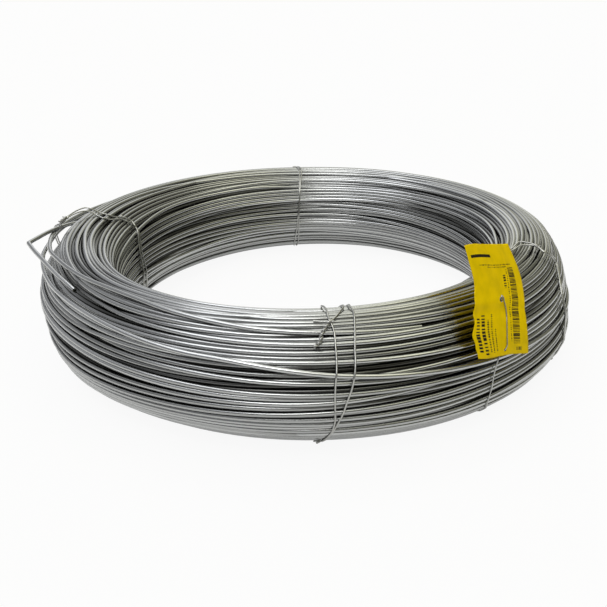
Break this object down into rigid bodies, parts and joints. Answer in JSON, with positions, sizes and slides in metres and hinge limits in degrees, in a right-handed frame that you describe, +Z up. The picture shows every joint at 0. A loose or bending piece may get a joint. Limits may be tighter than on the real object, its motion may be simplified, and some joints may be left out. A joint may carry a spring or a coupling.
{
  "type": "coil of wire",
  "caption": "Round coil of galvanised steel wire lying flat, held by doubled wire ties, with a loose end and a hanging tag.",
  "frame": {"origin": "middle of the coil's base, on the floor it lies on", "axes": "+Z up along the coil's axis; the front tie and the tag are on the -Y side, the tag towards +X"},
  "size_m": [0.56, 0.5625, 0.1564],
  "materials": {
    "coil_wire": "satin",
    "tie_wire": "satin",
    "tag_sheet": "satin"
  },
  "bodies": {
    "root": {"wire_coil": "coil_wire", "tie_front": "tie_wire", "tie_right": "tie_wire", "tie_back": "tie_wire", "tie_left": "tie_wire", "tag_tie": "tie_wire", "tag": "tag_sheet"}
  },
  "joints": []
}
